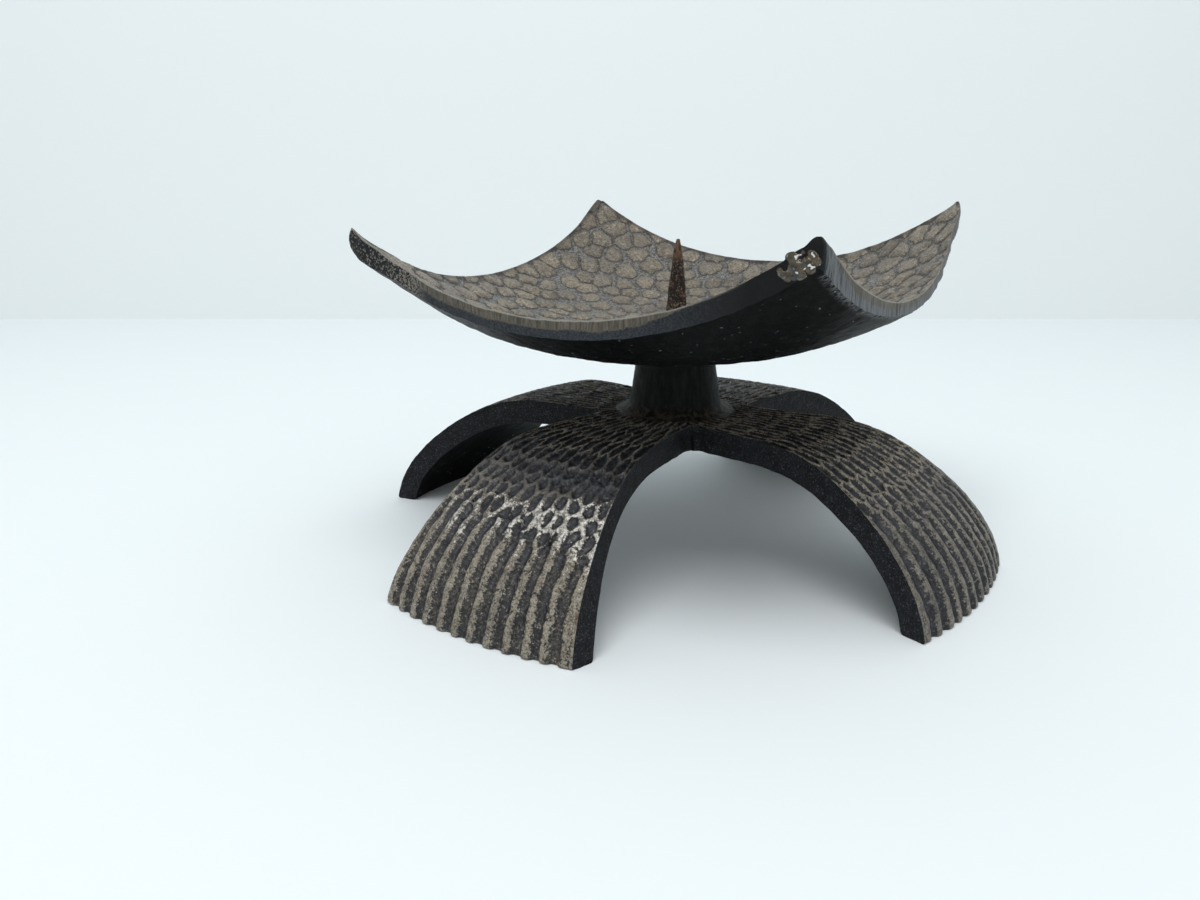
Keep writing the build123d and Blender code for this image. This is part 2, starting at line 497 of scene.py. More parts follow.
class Reading:
    """The output of a node, so that a sum written on it adds its Math nodes."""

    def __init__(self, bench, socket):
        self.bench = bench
        self.socket = socket

    def __add__(self, other):
        return self.bench.sum("ADD", self, other)

    def __radd__(self, other):
        return self.bench.sum("ADD", other, self)

    def __sub__(self, other):
        return self.bench.sum("SUBTRACT", self, other)

    def __rsub__(self, other):
        return self.bench.sum("SUBTRACT", other, self)

    def __mul__(self, other):
        return self.bench.sum("MULTIPLY", self, other)

    def __rmul__(self, other):
        return self.bench.sum("MULTIPLY", other, self)

    def rise(self, start, end):
        """Rises smoothly from 0 at the start to 1 at the end."""
        inputs = {0: self, 1: start, 2: end}
        return self.bench.node("ShaderNodeMapRange", inputs, interpolation_type="SMOOTHSTEP")

    def blend(self, first, second):
        """The first colour where this is 0, the second where it is 1."""
        inputs = {0: self, 6: first, 7: second}
        return self.bench.node("ShaderNodeMix", inputs, output=2, data_type="RGBA", clamp_factor=True)

    def level(self, first, second):
        """The first number where this is 0, the second where it is 1."""
        return first + self * (second - first)


class Bench:
    """One material, with the tools that add and join its nodes."""

    def __init__(self, name):
        self.material = bpy.data.materials.new(name)
        self.material.use_nodes = True
        self.tree = self.material.node_tree
        self.tree.nodes.clear()
        self.places = self.node("ShaderNodeTexCoord", output="Object")

    def node(self, kind, inputs=None, output=0, **settings):
        """Adds a node: first its settings, then the values or links of its sockets."""
        made = self.tree.nodes.new(kind)
        for setting, value in settings.items():
            setattr(made, setting, value)
        for socket, value in (inputs or {}).items():
            self.feed(made.inputs[socket], value)
        return Reading(self, made.outputs[output])

    def feed(self, socket, value):
        """Links a socket to a reading, or sets it to a value."""
        if isinstance(value, Reading):
            self.tree.links.new(value.socket, socket)
        elif socket.type == "RGBA":
            socket.default_value = (*value, 1)
        else:
            socket.default_value = value

    def sum(self, operation, first, second):
        """One Math node."""
        return self.node("ShaderNodeMath", {0: first, 1: second}, operation=operation)

    def noted(self, name):
        """A number kept on the mesh."""
        return self.node("ShaderNodeAttribute", output="Fac", attribute_name=name)

    def height(self):
        """Height above the floor, in metres."""
        return self.node("ShaderNodeSeparateXYZ", {"Vector": self.places}, output="Z")

    def grain(self, size, detail=2.0, rough=0.5, stretch=None, twist=0.0):
        """Noise from 0 to 1 whose grains are about one size, in millimetres."""
        places = self.places
        if stretch:
            places = self.node("ShaderNodeMapping", {"Vector": places, "Scale": stretch})
        inputs = {"Vector": places, "Scale": 1 / (size * MM), "Detail": detail, "Roughness": rough}
        inputs["Distortion"] = twist
        return self.node("ShaderNodeTexNoise", inputs, output="Fac")

    def iron(self, colour, rough, metal, relief, depth, strength, gloss=0.5):
        """Ends the material. The relief goes from 0 to 1, its depth is in millimetres."""
        inputs = {"Height": relief, "Distance": depth * MM, "Strength": strength}
        inputs = {"Normal": self.node("ShaderNodeBump", inputs), "Specular IOR Level": gloss}
        return self.end({"Base Color": colour, "Roughness": rough, "Metallic": metal, **inputs})

    def end(self, inputs):
        """Joins a surface shader to the material's output."""
        surface = self.node("ShaderNodeBsdfPrincipled", inputs)
        last = self.tree.nodes.new("ShaderNodeOutputMaterial")
        self.tree.links.new(surface.socket, last.inputs["Surface"])
        return self.material


# Finishes


def leg_skin(look):
    """The patterned top of the legs: blacking worn to brown-grey, and to bright metal below the shoulder,
    where a highlight is painted as well.
    """
    bench = Bench("leg_skin")
    crest, shine, wear, foot, dust = map(bench.noted, ["crest", "shine", "wear", "foot", "dust"])
    fine = bench.grain(0.42, 3, 0.65)
    pits = bench.grain(0.8, 2, 0.6)
    middle = bench.grain(1.7, 3, 0.6)
    broad = bench.grain(8, 2)
    black = (middle + (fine - 0.5) * 0.5).rise(0.35, 0.7).blend(look.blacking, (0.03, 0.033, 0.04))
    # Pale grey flecks in the blacking are painted glints
    black = (pits.rise(0.56, 0.68) * 0.6).blend(black, (0.12, 0.123, 0.128))
    brown = fine.rise(0.35, 0.65).blend((0.036, 0.032, 0.026), look.dull_iron)
    black = ((fine * 0.5 + pits * 0.5 + (dust - 1) * 0.35).rise(0.3, 0.42) * 0.85).blend(black, brown)
    coarse = foot.level(0.9, 1.9)
    rubbed = crest + ((fine - 0.5) * 1.2 + (pits - 0.5) * 1.3) * coarse
    rubbed = rubbed + (middle - 0.5) * 0.9 + (broad - 0.5) * 0.5
    worn = (rubbed + foot * 0.08).rise(0.48, 0.82) * wear
    rusty = bench.grain(4, 4, 0.65).rise(0.6, 0.74) * foot
    iron = (fine + (middle - 0.5) * 0.6).rise(0.3, 0.72).blend(look.dull_iron, look.worn_iron)
    iron = (rusty * 0.7).blend(iron, look.rust)
    colour = worn.blend(black, iron)
    patchy = (fine - 0.5) * 1.5 + (middle - 0.5) * 2.0 + (pits - 0.5) * 1.0
    # The bright band below the shoulder is rubbed metal with a painted highlight laid in it
    bright = (crest + patchy + (shine - 1) * 1.1).rise(0.54, 0.74)
    silver_and_highlight = (pits + (fine - 0.5) * 0.8).rise(0.42, 0.62).blend((0.25, 0.24, 0.21), look.bright_iron_and_highlight)
    colour = bright.blend(colour, silver_and_highlight)
    rough = worn.level(0.34, 0.6) - bright * 0.14 + (fine - 0.5) * 0.25
    metal = worn * 0.15 + bright * 0.55
    return bench.iron(colour, rough, metal, fine * 0.4 + pits * 0.6, depth=0.4, strength=1.0, gloss=0.42)


def cast_side():
    """The plain cast sides: matt blue-black with a fine sandy grain and a few pale grains."""
    bench = Bench("cast_side")
    fine = bench.grain(0.45, 3, 0.65)
    middle = bench.grain(2.2, 3, 0.6)
    speck = bench.grain(0.42, 2, 0.7).rise(0.55, 0.7)
    colour = middle.rise(0.3, 0.75).blend((0.0055, 0.006, 0.0078), (0.014, 0.015, 0.019))
    colour = (speck * 0.7).blend(colour, (0.1, 0.104, 0.112))
    relief = fine * 0.7 + middle * 0.3
    return bench.iron(colour, fine.level(0.5, 0.7), 0.0, relief, depth=0.36, strength=1.0, gloss=0.16)


def cast_under():
    """The undersides: soot black, with sparse pale grains of sand, and pale streaks towards the dish's
    corners that are a painted reflection.
    """
    bench = Bench("cast_under")
    fine = bench.grain(0.5, 3, 0.65)
    middle = bench.grain(2.4, 3, 0.6)
    speck = bench.grain(1.1, 1, 0.5).rise(0.735, 0.77)
    streak = bench.grain(0.6, 3, 0.6, stretch=(0.3, 1, 1))
    colour = middle.rise(0.35, 0.75).blend((0.0018, 0.002, 0.002), (0.005, 0.0056, 0.0058))
    # Pale streaks where the mesh notes them: a painted reflection of the bright backdrop
    colour = (bench.noted("pale") * streak.rise(0.4, 0.62)).blend(colour, (0.16, 0.165, 0.17))
    colour = speck.blend(colour, (0.22, 0.24, 0.26))
    relief = fine * 0.6 + middle * 0.4
    return bench.iron(colour, fine.level(0.42, 0.6), 0.0, relief, depth=0.2, strength=0.9, gloss=0.08)


def stem_skin():
    """The stem: rough black casting with faint upright streaks, and brown dust at its foot."""
    bench = Bench("stem_skin")
    fine = bench.grain(0.6, 4, 0.7)
    streak = bench.grain(1.2, 3, 0.6, stretch=(1, 1, 0.18))
    height = bench.height()
    low = 1 - height.rise((hub_height - 0.5) * MM, (hub_height + 5.5) * MM)
    colour = streak.rise(0.35, 0.75).blend((0.0045, 0.005, 0.0048), (0.014, 0.0155, 0.0155))
    dust = (bench.grain(1.5, 3, 0.6) + low * 0.25).rise(0.6, 0.85) * low
    colour = (dust * 0.75).blend(colour, (0.085, 0.07, 0.052))
    relief = fine * 0.6 + streak * 0.4
    return bench.iron(colour, fine.level(0.45, 0.65), 0.0, relief, depth=0.22, strength=0.9, gloss=0.1)


def pebble_skin(look):
    """The inside of the dish: taupe pebbles in thin dark lines, with sandy blue-grey iron between them;
    pebbles on the left are lightened by painted light, and glints are painted.
    """
    bench = Bench("pebble_skin")
    seam, tone, reach = map(bench.noted, ["seam", "tone", "reach"])
    fine = bench.grain(0.36, 3, 0.65)
    sand = bench.grain(0.65, 3, 0.7)
    middle = bench.grain(1.6, 3, 0.65)
    broad = bench.grain(13, 2)
    near = 1 - reach.rise(0.15, 0.8)
    bottom = 1 - reach.rise(0.3, 0.62)
    # Pebble tops go from dark to light by their own darkness, and by painted light that lightens the left
    # side
    top = tone.blend(look.pebble_shade, look.pebble_iron)
    top = (middle.rise(0.46, 0.66) * 0.8).blend(top, (0.5, 0.44, 0.345))
    top = (broad.rise(0.42, 0.66) * 0.4).blend(top, (0.185, 0.18, 0.168))
    top = ((sand + (fine - 0.5) * 0.6).rise(0.46, 0.6) * 0.8).blend(top, (0.082, 0.074, 0.062))
    scratch = bench.grain(1.1, 4, 0.75, twist=1.5)
    scratch = scratch.rise(0.46, 0.49) - scratch.rise(0.51, 0.55)
    ragged = seam + (middle - 0.5) * 1.2 + (sand - 0.5) * 1.2
    edge = ragged.rise(0.44, 0.62)
    dirt = sand.rise(0.42, 0.58).blend((0.058, 0.06, 0.063), (0.34, 0.345, 0.335))
    dirt = near.level(0.14, 0).blend(dirt, (0.04, 0.043, 0.046))
    sandy = sand.rise(0.47, 0.56).blend((0.06, 0.058, 0.054), (0.46, 0.44, 0.38))
    dirt = (bottom * 0.75).blend(dirt, sandy)
    smudge = bench.grain(2.6, 3, 0.6).rise(0.52, 0.7)
    top = (smudge * 0.5).blend(top, (0.085, 0.074, 0.058))
    colour = (edge * (1 - near * 0.15)).blend(dirt, top)
    colour = (scratch * near.level(0.4, 0.9)).blend(colour, (0.47, 0.43, 0.36))
    line = ragged.rise(0.22, 0.42) * (1 - ragged.rise(0.52, 0.72))
    colour = (line * near.level(0.68, 0.45) * bottom.level(1, 0.35)).blend(colour, (0.028, 0.025, 0.021))
    # Pale glints painted into the colour: painted highlights
    glint = bench.grain(1.3, 2, 0.6).rise(0.7, 0.76) * (1 - seam.rise(0.3, 0.8))
    colour = (glint * 0.8).blend(colour, (0.62, 0.5, 0.4))
    colour = (bench.noted("outline") * 0.85).blend(colour, (0.04, 0.031, 0.022))
    rough = 0.44 + (fine - 0.5) * 0.3 - glint * 0.2
    relief = fine * 0.3 + sand * 0.45 + scratch * 0.25
    return bench.iron(colour, rough, edge * 0.1 + glint * 0.4, relief, depth=0.4, strength=1.0)


def rim_edge():
    """The cut edge of the dish: brown-grey streaks above, blue-black below, gritty at the left tip, and a
    painted pale reflection on the right-hand face.
    """
    bench = Bench("rim_edge")
    through, soot, grit, pale = map(bench.noted, ["through", "soot", "grit", "pale"])
    streak = bench.grain(0.55, 3, 0.65, stretch=(1, 1, 0.11))
    fine = bench.grain(0.45, 3, 0.6)
    grains = bench.grain(0.55, 2, 0.7)
    broad = bench.grain(9, 2)
    line = through + (streak - 0.5) * 0.5 + (broad - 0.5) * 0.45 + soot * 0.9
    worn = 1 - line.rise(0.5, 0.57)
    iron = streak.rise(0.3, 0.7).blend((0.055, 0.049, 0.038), (0.142, 0.128, 0.102))
    iron = (fine.rise(0.55, 0.75) * 0.5).blend(iron, (0.06, 0.053, 0.045))
    black = fine.rise(0.35, 0.7).blend((0.016, 0.019, 0.024), (0.044, 0.05, 0.058))
    black = soot.blend(black, (0.0035, 0.0038, 0.0042))
    # Pale blue-grey on the right-hand face is a painted reflection of the bright backdrop
    black = (pale * streak.rise(0.25, 0.6)).blend(black, (0.165, 0.178, 0.186))
    colour = worn.blend(black, iron)
    speckled = (grains - (grit - 0.5) * 0.22).rise(0.44, 0.54)
    speckled = speckled.blend((0.012, 0.013, 0.015), (0.19, 0.175, 0.15))
    colour = (grit + (broad - 0.5) * 0.6).rise(0.35, 0.6).blend(colour, speckled)
    lip = (1 - (through + (fine - 0.5) * 0.08).rise(0.03, 0.1)) * (1 - soot)
    colour = (lip * 0.7).blend(colour, (0.4, 0.38, 0.34))
    relief = fine * 0.4 + streak * 0.3 + grains * 0.3
    return bench.iron(colour, worn.level(0.55, 0.48), worn * 0.2, relief, depth=0.16, strength=0.8, gloss=0.2)


def amber_glass():
    """The glossy amber beads under the near corner of the dish."""
    bench = Bench("amber_glass")
    patch = bench.grain(1.6, 2, 0.5)
    colour = patch.rise(0.35, 0.65).blend((0.014, 0.013, 0.01), (0.062, 0.042, 0.012))
    colour = bench.grain(1.1, 2).rise(0.6, 0.72).blend(colour, (0.1, 0.097, 0.088))
    # White glints painted into the colour: painted reflections
    glint = bench.grain(1.0, 1, 0.4).rise(0.66, 0.7)
    colour = (glint * 0.9).blend(colour, (0.72, 0.73, 0.7))
    relief = bench.grain(0.8, 2)
    return bench.iron(colour, patch.level(0.05, 0.16), 0.0, relief, depth=0.25, strength=0.8, gloss=0.7)


def rusty_steel(look):
    """The pricket: nearly black rust with tan grains, brown near the root and orange at the tip."""
    bench = Bench("rusty_steel")
    fine = bench.grain(0.35, 3, 0.65)
    grains = bench.grain(0.6, 2, 0.7)
    middle = bench.grain(1.4, 4, 0.65)
    height = bench.height()
    tip = height.rise((spike_height - 7) * MM, (spike_height - 3) * MM)
    root = 1 - height.rise((spike_height - 22) * MM, (spike_height - 12) * MM)
    colour = middle.rise(0.46, 0.72).blend((0.01, 0.008, 0.0065), look.rust)
    grainy = (grains + root * 0.1).rise(0.54, 0.64) * 0.8
    colour = grainy.blend(colour, (0.2, 0.15, 0.105))
    colour = (tip * middle.rise(0.34, 0.56)).blend(colour, (0.145, 0.08, 0.044))
    relief = fine * 0.5 + grains * 0.5
    return bench.iron(colour, fine.level(0.45, 0.7), 0.1, relief, depth=0.25, strength=1.0, gloss=0.35)


def dull_steel():
    """The washer and the nut: dull steel with fine turning marks and a little rust."""
    bench = Bench("dull_steel")
    fine = bench.grain(0.3, 3, 0.6, stretch=(1, 1, 4))
    patch = bench.grain(2.5, 4, 0.6)
    colour = fine.rise(0.3, 0.7).blend((0.2, 0.195, 0.185), (0.34, 0.33, 0.31))
    colour = (patch.rise(0.55, 0.72) * 0.8).blend(colour, (0.13, 0.07, 0.035))
    return bench.iron(colour, patch.level(0.35, 0.6), 0.8, fine, depth=0.05, strength=0.6)


def pale_plane(name, paint, colour):
    """A large, plain, pale surface of the stage."""
    deselect()
    bpy.ops.mesh.primitive_plane_add(size=plane_size)
    plane = bpy.context.object
    plane.name = name
    dress(plane, [Bench(paint).end({"Base Color": colour, "Roughness": plane_roughness})])
    return plane


# Leg casting


def side_circle():
    """Centre and radius of the arc that one side of a leg follows, seen from above."""
    run, flare = foot_reach - hub_half_width, foot_half_width - hub_half_width
    chord = math.hypot(run, flare)
    radius = (chord**2 / 4 + leg_side_sag**2) / (2 * leg_side_sag)
    rise = radius - leg_side_sag
    middle = (foot_reach + hub_half_width) / 2, (foot_half_width + hub_half_width) / 2
    return (middle[0] - flare / chord * rise, middle[1] + run / chord * rise), radius


def leg_half_width(reach):
    """Half a leg's width: along the hub's diagonal, round the notch, then along the side."""
    (along, across), radius = side_circle()
    both, inside = along + across, radius - notch_radius
    notch = (both - math.sqrt(both**2 - 2 * (along**2 + across**2 - inside**2))) / 2
    notch_start = notch - notch_radius / math.sqrt(2)
    notch_end = along + (notch - along) * radius / inside
    round_notch = notch - np.sqrt(np.maximum(notch_radius**2 - (reach - notch) ** 2, 0))
    side = across - np.sqrt(radius**2 - (reach - along) ** 2)
    return np.where(reach < notch_start, reach, np.where(reach < notch_end, round_notch, side))


def leg_profile(reach, height, rows):
    """Side view of a leg, flat over the hub and then bent to the floor, with evenly spaced points."""
    span = reach - shoulder_reach
    bend = smooth_through([(shoulder_reach + a * span, up * height) for a, up in arch_shares], 400)
    flat = np.array([(leg_start_reach, height)])
    return evenly(np.concatenate([flat, bend]), rows)


def on_leg(profile, along, across):
    """Places on a leg's skin, crowned about an upright axis behind the hub, and the outward normals."""
    stations = np.linspace(-1, 1, len(profile))
    reach = np.interp(along, stations, profile[:, 0])
    height = np.interp(along, stations, profile[:, 1])
    slope = np.gradient(profile, axis=0)
    slope /= np.linalg.norm(slope, axis=1)[:, None]
    out = np.interp(along, stations, -slope[:, 1])
    up = np.interp(along, stations, slope[:, 0])
    crown = reach - crown_axis_reach
    x = reach.copy()
    for _ in range(6):
        y = across * leg_half_width(x)
        x = crown_axis_reach + np.sqrt(crown**2 - y**2)
    bearing = np.arctan2(y, x - crown_axis_reach)
    normals = np.column_stack([out * np.cos(bearing), out * np.sin(bearing), up])
    return np.column_stack([x, y, height]), normals


def leg_net(look, points, run, down, long_end, seed):
    """The net of ridges: distance to the nearest, how far each hollow is a groove, and its own number."""
    plan = points[:, :2]
    outward = points[:, 0] - fan_apex_reach
    fan = np.arctan2(points[:, 1], outward) / fan_half_angle + 1
    from_apex = fan_half_angle * np.hypot(outward, points[:, 1])
    across = fan * look.dimple_rows / 2 + 0.16 * lumps(plan, 5, seed) + 0.09 * lumps(points, 2.2, seed + 1)
    pitch = 2 * from_apex / look.dimple_rows
    fine_run = np.linspace(0, run.max(), 300)
    fine_down = np.interp(fine_run, np.sort(run), np.sort(down))
    long_share = 1 - ease(fine_down, 0.15, long_end)
    fine_length = look.dimple_length / MM * (1 + 0.9 * long_share)
    step = fine_run[1] / fine_length
    run = run + 0.9 * lumps(plan, 6.0, seed + 2) + 0.35 * lumps(points, 2.5, seed + 3)
    beat = np.interp(run, fine_run, np.cumsum(step))
    length = np.interp(run, fine_run, fine_length)
    offsets, names = [], []
    for row_step, cell_step in np.ndindex(3, 3):
        row = np.round(beat) + row_step - 1
        stagger = 0.5 * (row % 2)
        name = np.column_stack([np.round(across - stagger) + cell_step - 1, row])
        off_side = (name[:, 0] + stagger + 0.15 * scatter(name, seed + 4) - across) * pitch
        off_run = (row + 0.22 * scatter(name, seed + 5) - beat) * length
        offsets.append(np.column_stack([off_side, off_run]))
        names.append(name)
    offsets = np.array(offsets)
    squeeze = 0.22 + 0.42 * ease(down, 0.15, long_end)
    weights = np.column_stack([np.ones(len(points)), squeeze**2])
    apart = (offsets**2 * weights).sum(axis=2)
    order = np.argsort(apart, axis=0)[:2, :, None]
    nearest, next_one = np.take_along_axis(offsets, order, 0)
    between = ((next_one**2 - nearest**2) * weights).sum(axis=1) / 2
    edge = between / np.linalg.norm((next_one - nearest) * weights, axis=1)
    own = np.take_along_axis(np.array(names), order[:1], 0)[0]
    oval = (0.60 - np.hypot(nearest[:, 0] / pitch, nearest[:, 1] * 0.8 / length)) * pitch
    edge = edge + (least(edge, oval) - edge) * ease(down, long_end - 0.25, long_end)
    groove = ease(down + 0.07 * scatter(own, seed + 6), 0.50, 0.70)
    ribs = fan * look.rib_count / 2 + 0.1 * lumps(plan, 5.5, seed + 18) + 0.05 * lumps(points, 2.2, seed + 19)
    rib_edge = (0.5 - abs(ribs - np.round(ribs))) * 2 * from_apex / look.rib_count
    return edge * (1 - groove) + rib_edge * groove, groove, scatter(own, seed + 7)


def leg_pattern(look, points, run, down, from_side, long_end, seed):
    """Depth of the hollows and grooves at each place, and how near it is to a ridge."""
    edge, groove, odd = leg_net(look, points, run, down, long_end, seed)
    edge = np.where(points[:, 0] > hub_half_width + 1, np.minimum(edge, from_side), edge)
    ridge = 0.1 + 0.05 * ease(down, 0.2, 0.45) + 0.52 * groove
    ridge += (0.07 + 0.14 * groove) * lumps(points, 2.4, seed + 8)
    slope = 0.4 + 0.26 * ease(down, 0.1, 0.45)
    hollow = ease(edge, ridge, ridge + slope + 0.45 * groove)
    dimple = look.dimple_depth / MM * (1 + 0.25 * odd + 0.45 * ease(down, 0.12, 0.4))
    depth = dimple * (1 - groove) + look.groove_depth / MM * groove
    flare = ease(np.hypot(points[:, 0], points[:, 1]), stem_foot_radius + 1.5, stem_foot_radius + 6)
    crest = 1 - ease(edge, ridge * 0.8, ridge + slope)
    return hollow * depth * flare, crest * (0.4 + 0.6 * flare)


def leg_shell(look, finishes, turn):
    """One leg of the casting, turned to its place, with its pattern in the mesh."""
    piece = slab(leg_names[turn], *leg_grid)
    seed = leg_seeds[turn]
    dress(piece, finishes)
    across, along, through = corners(piece).T
    draw_in, flare, swollen = leg_quirks[turn]
    skin_profile = leg_profile(foot_reach, hub_height, leg_grid[1] * 2)
    vault_profile = leg_profile(foot_reach - foot_wall, hub_height - hub_wall, leg_grid[1] * 2)
    flat_skin, normals = on_leg(skin_profile, along, across)
    flat_vault, vault_normals = on_leg(vault_profile, along, across)
    from_side = (1 - abs(across)) * leg_half_width(flat_skin[:, 0])
    flat_skin[:, 1] += draw_in * np.interp(along, *draw_in_shares) * np.maximum(-across, 0) ** 1.5
    flat_vault[:, 1] += flare * ease(along, 0.0, 1.0) ** 1.5 * np.maximum(across, 0)
    lift = swollen * np.interp(along, *swell_shares) * (0.35 + 0.65 * np.maximum(across, 0))
    flat_skin += normals * lift[:, None]
    total = np.linalg.norm(np.diff(skin_profile, axis=0), axis=1).sum()
    run = (along + 1) / 2 * total
    bend_start = shoulder_reach - leg_start_reach
    down = (run - bend_start) / (total - bend_start)
    depth, crest = leg_pattern(look, flat_skin, run, down, from_side, long_dimple_ends[turn], seed)
    low_rim = np.clip(foot_edge_radius - flat_skin[:, 2], 0, foot_edge_radius)
    rounding = foot_edge_radius - np.sqrt(foot_edge_radius**2 - low_rim**2)
    sand = swell(flat_skin, seed + 9, (2.2, 0.09), (0.9, 0.06)) * (1 - low_rim / foot_edge_radius)
    skin = flat_skin - normals * (depth + rounding - sand)[:, None]
    sand = 0.12 * lumps(flat_vault, 2.4, seed + 11) * np.minimum(flat_vault[:, 2] / 2, 1)
    vault = flat_vault + vault_normals * (rounding * 0.8 + sand)[:, None]
    share = through[:, None]
    points = flat_skin * (1 - share) + vault * share + (skin - flat_skin) * (1 - share) ** 3
    wall = (through > 0) & (through < 1)
    points[:, 1] += wall * swell(points, seed + 12, (1.8, 0.14), (0.9, 0.08))
    points[:, 2] = np.where(along > 0.9999, 0, np.maximum(points[:, 2], 0))
    place(piece, points)
    wear, shine = leg_wear(turn, down, across, flat_skin, seed)
    shoulder, foot = dust_shares[turn]
    dust = shoulder * ease(down, 0.0, 0.45) + (foot - shoulder) * ease(down, 0.45, 0.8)
    dust = np.clip(dust + 0.2 * lumps(flat_skin, 8.0, seed + 20) * (dust > 0), 0, 1)
    note(piece, crest=crest, wear=wear, shine=shine, foot=ease(down, 0.4, 0.8), dust=dust)
    sort_faces(piece, through)
    thin_underside(piece)
    piece.data.transform(Matrix.Rotation(turn * 2 * math.pi / leg_count, 4, "Z"))
    return piece


def leg_wear(turn, down, across, skin, seed):
    """How far a leg's ridges are worn to brown-grey, and where they are bright: rubbed metal with a painted
    highlight.
    """
    hub, shoulder, foot, bright = wear_shares[turn]
    wear = hub + (shoulder - hub) * ease(down, 0.06, 0.34) + (foot - shoulder) * ease(down, 0.34, 0.62)
    wear = np.clip(wear + 0.25 * lumps(skin, 7.0, seed + 14), 0, 1)
    start = 0.44 - 0.05 * across + 0.05 * lumps(skin, 6.0, seed + 15)
    end = 0.63 + 0.02 * across + 0.07 * lumps(skin, 5.0, seed + 16)
    band = ease(down, start - 0.05, start + 0.07) * (1 - ease(down, end - 0.04, end + 0.10))
    patch = 0.86 + 0.30 * lumps(skin, 8.0, seed + 17) + 0.16 * across
    return wear, bright * band * np.clip(patch, 0, 1)


def thin_underside(piece):
    """The plain underside needs fewer faces than the pattern above it."""
    pick(piece)
    open_mesh("DESELECT")
    close_mesh()
    for face in piece.data.polygons:
        face.select = face.material_index == under_finish
    open_mesh()
    select_by("faces")
    bpy.ops.mesh.decimate(ratio=underside_share)
    select_by("points")
    close_mesh()


def stem_shell(finishes):
    """The stem, closed at both ends, with its flare laid into the hub."""
    flare_centre = stem_foot_radius + stem_flare_radius
    skirt = flare_centre + 1.5
    buried = [(0, hub_height - 3), (skirt, hub_height - 3), (skirt, hub_height - 0.5)]
    turns = np.radians(90 - 84 * np.linspace(0, 1, 9))
    reach = flare_centre - stem_flare_radius * np.cos(turns)
    height = hub_height + stem_flare_radius * (1 - np.sin(turns))
    rise = np.linspace(0, 1, 26)[1:]
    reach = np.append(reach, reach[-1] + (stem_top_radius - reach[-1]) * rise)
    height = np.append(height, height[-1] + (stem_top_height - height[-1]) * rise)
    outline = buried + list(zip(reach, height)) + [(0, stem_top_height)]
    return cast_round("stem", outline, finishes, stem_finish, [(2.4, 0.12), (1.0, 0.07)], stem_seed)


class STAND_OT_legs(bpy.types.Operator):
    """Models the four patterned legs with their share of the hub, and the stem"""

    bl_idname = "stand.legs"
    bl_label = "Legs and stem"

    def execute(self, context):
        look = context.scene.leg_look
        finish = context.scene.finish_look
        finishes = [leg_skin(finish), cast_side(), cast_under(), stem_skin()]
        pieces = [leg_shell(look, finishes, turn) for turn in range(leg_count)]
        pieces.append(stem_shell(finishes))
        for piece in pieces:
            face_out(piece, sharp_degrees)
            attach(piece, "root")
            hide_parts("leg_base")
        return {"FINISHED"}


# Dish casting


def bowl_height(reach):
    """Height of the bowl's inside at a distance from its axis."""
    share = reach / dish_tip_reach
    rise = bowl_square_share * share**2 + (1 - bowl_square_share) * share**4
    return dish_floor_height + dish_depth * rise


def bowl_slope(reach):
    """Slope of the bowl's inside at a distance from its axis."""
    share = reach / dish_tip_reach
    rise = 2 * bowl_square_share * share + 4 * (1 - bowl_square_share) * share**3
    return dish_depth / dish_tip_reach * rise


def bowl_underside(reach):
    """Height of the bowl's outside, one wall below the inside."""
    inside = np.linspace(0, dish_tip_reach * 1.05, 300)
    lean = np.arctan(bowl_slope(inside))
    return np.interp(reach, inside + dish_wall * np.sin(lean), bowl_height(inside) - dish_wall * np.cos(lean))


def sow_pebbles(look, seed):
    """Middles of the pebbles: scattered over the bowl, at least one pebble apart, closer round the spike."""
    rng = np.random.default_rng(seed)
    trials = rng.uniform(-dish_half_side - dish_side_bulge, dish_half_side + dish_side_bulge, (9000, 2))
    reach = np.hypot(*trials.T)
    trials = np.column_stack([trials, bowl_height(reach)])
    share = np.clip(reach / dish_half_side, 0, 1)
    apart = (look.centre_cell_size + (look.cell_size - look.centre_cell_size) * share) / MM
    kept = []
    spacing = []
    for trial, gap in zip(trials, apart):
        if not kept or np.min(np.linalg.norm(np.array(kept) - trial, axis=1)) > gap:
            kept.append(trial)
            spacing.append(gap)
    return np.array(kept), np.array(spacing)


def nearest_two(points, middles):
    """For each point the nearest two middles, and its distance to the line midway between them."""
    parts = []
    for part in np.array_split(points, len(points) // 4000 + 1):
        apart = np.linalg.norm(part[:, None] - middles, axis=2)
        parts.append(np.argpartition(apart, (0, 1), axis=1)[:, :2])
    first, second = np.concatenate(parts).T
    to_first = np.linalg.norm(points - middles[first], axis=1)
    to_second = np.linalg.norm(points - middles[second], axis=1)
    between = np.linalg.norm(middles[first] - middles[second], axis=1)
    return first, second, (to_second**2 - to_first**2) / (2 * between)


